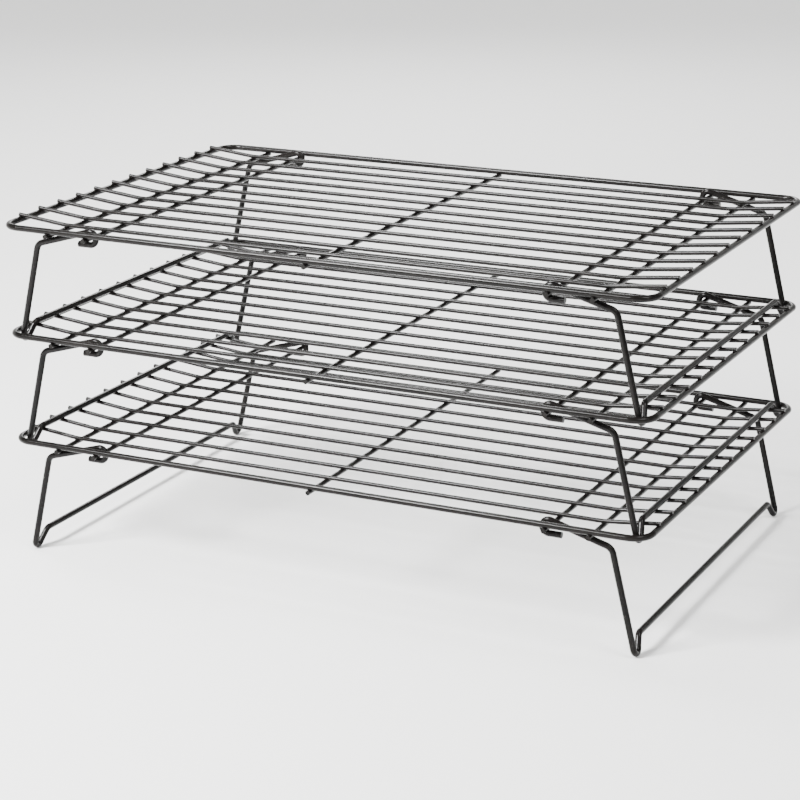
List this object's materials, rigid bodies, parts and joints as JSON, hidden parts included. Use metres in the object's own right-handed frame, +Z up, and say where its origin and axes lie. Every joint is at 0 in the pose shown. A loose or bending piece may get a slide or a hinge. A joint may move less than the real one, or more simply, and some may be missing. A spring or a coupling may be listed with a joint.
{
  "type": "tiered cooling rack",
  "caption": "Stack of rectangular wire cooling trays, each with long grid wires in a round-cornered frame and a folding wire leg at both ends.",
  "frame": {"origin": "centre of the footprint, on the surface that the bottom feet stand on", "axes": "+X along the grid wires towards the right legs, +Y towards the back, +Z up"},
  "size_m": [0.4, 0.2612, 0.2028],
  "materials": {
    "coated_tier_wire": "satin non-stick coating on steel wire",
    "coated_leg_wire": "satin non-stick coating on steel wire"
  },
  "bodies": {
    "bottom_tier": {"bottom_frame": "coated_tier_wire", "bottom_grid_wire_1": "coated_tier_wire", "bottom_grid_wire_2": "coated_tier_wire", "bottom_grid_wire_3": "coated_tier_wire", "bottom_grid_wire_4": "coated_tier_wire", "bottom_grid_wire_5": "coated_tier_wire", "bottom_grid_wire_6": "coated_tier_wire", "bottom_grid_wire_7": "coated_tier_wire", "bottom_grid_wire_8": "coated_tier_wire", "bottom_grid_wire_9": "coated_tier_wire", "bottom_grid_wire_10": "coated_tier_wire", "bottom_grid_wire_11": "coated_tier_wire", "bottom_grid_wire_12": "coated_tier_wire", "bottom_left_outer_cross_wire": "coated_tier_wire", "bottom_left_hinge_cross_wire": "coated_tier_wire", "bottom_middle_cross_wire": "coated_tier_wire", "bottom_right_hinge_cross_wire": "coated_tier_wire", "bottom_right_outer_cross_wire": "coated_tier_wire"},
    "bottom_left_leg": {"bottom_left_leg": "coated_leg_wire"},
    "bottom_right_leg": {"bottom_right_leg": "coated_leg_wire"},
    "middle_tier": {"middle_frame": "coated_tier_wire", "middle_grid_wire_1": "coated_tier_wire", "middle_grid_wire_2": "coated_tier_wire", "middle_grid_wire_3": "coated_tier_wire", "middle_grid_wire_4": "coated_tier_wire", "middle_grid_wire_5": "coated_tier_wire", "middle_grid_wire_6": "coated_tier_wire", "middle_grid_wire_7": "coated_tier_wire", "middle_grid_wire_8": "coated_tier_wire", "middle_grid_wire_9": "coated_tier_wire", "middle_grid_wire_10": "coated_tier_wire", "middle_grid_wire_11": "coated_tier_wire", "middle_grid_wire_12": "coated_tier_wire", "middle_left_outer_cross_wire": "coated_tier_wire", "middle_left_hinge_cross_wire": "coated_tier_wire", "middle_middle_cross_wire": "coated_tier_wire", "middle_right_hinge_cross_wire": "coated_tier_wire", "middle_right_outer_cross_wire": "coated_tier_wire"},
    "middle_left_leg": {"middle_left_leg": "coated_leg_wire"},
    "middle_right_leg": {"middle_right_leg": "coated_leg_wire"},
    "top_tier": {"top_frame": "coated_tier_wire", "top_grid_wire_1": "coated_tier_wire", "top_grid_wire_2": "coated_tier_wire", "top_grid_wire_3": "coated_tier_wire", "top_grid_wire_4": "coated_tier_wire", "top_grid_wire_5": "coated_tier_wire", "top_grid_wire_6": "coated_tier_wire", "top_grid_wire_7": "coated_tier_wire", "top_grid_wire_8": "coated_tier_wire", "top_grid_wire_9": "coated_tier_wire", "top_grid_wire_10": "coated_tier_wire", "top_grid_wire_11": "coated_tier_wire", "top_grid_wire_12": "coated_tier_wire", "top_left_outer_cross_wire": "coated_tier_wire", "top_left_hinge_cross_wire": "coated_tier_wire", "top_middle_cross_wire": "coated_tier_wire", "top_right_hinge_cross_wire": "coated_tier_wire", "top_right_outer_cross_wire": "coated_tier_wire"},
    "top_left_leg": {"top_left_leg": "coated_leg_wire"},
    "top_right_leg": {"top_right_leg": "coated_leg_wire"}
  },
  "joints": [
    {"name": "bottom_left_leg_fold", "type": "hinge", "parent": "bottom_tier", "child": "bottom_left_leg", "pos_m": [-0.1415, 0, 0.0669], "axis": [0, -1, 0], "range_deg": [0, 129.4]},
    {"name": "bottom_right_leg_fold", "type": "hinge", "parent": "bottom_tier", "child": "bottom_right_leg", "pos_m": [0.1415, 0, 0.0669], "axis": [0, 1, 0], "range_deg": [0, 129.4]},
    {"name": "middle_tier_lift", "type": "slide", "parent": "bottom_tier", "child": "middle_tier", "axis": [0, 0, 1], "range_m": [0, 0.16]},
    {"name": "middle_left_leg_fold", "type": "hinge", "parent": "middle_tier", "child": "middle_left_leg", "pos_m": [-0.1415, 0, 0.1314], "axis": [0, -1, 0], "range_deg": [0, 129.4]},
    {"name": "middle_right_leg_fold", "type": "hinge", "parent": "middle_tier", "child": "middle_right_leg", "pos_m": [0.1415, 0, 0.1314], "axis": [0, 1, 0], "range_deg": [0, 129.4]},
    {"name": "top_tier_lift", "type": "slide", "parent": "middle_tier", "child": "top_tier", "axis": [0, 0, 1], "range_m": [0, 0.16]},
    {"name": "top_left_leg_fold", "type": "hinge", "parent": "top_tier", "child": "top_left_leg", "pos_m": [-0.1415, 0, 0.19591], "axis": [0, -1, 0], "range_deg": [0, 129.4]},
    {"name": "top_right_leg_fold", "type": "hinge", "parent": "top_tier", "child": "top_right_leg", "pos_m": [0.1415, 0, 0.19591], "axis": [0, 1, 0], "range_deg": [0, 129.4]}
  ],
  "couplings": [
    {"joint": "middle_left_leg_fold", "follows": "middle_tier_lift", "rad_per_m": 14.115},
    {"joint": "middle_right_leg_fold", "follows": "middle_tier_lift", "rad_per_m": 14.115},
    {"joint": "top_left_leg_fold", "follows": "top_tier_lift", "rad_per_m": 14.115},
    {"joint": "top_right_leg_fold", "follows": "top_tier_lift", "rad_per_m": 14.115}
  ]
}
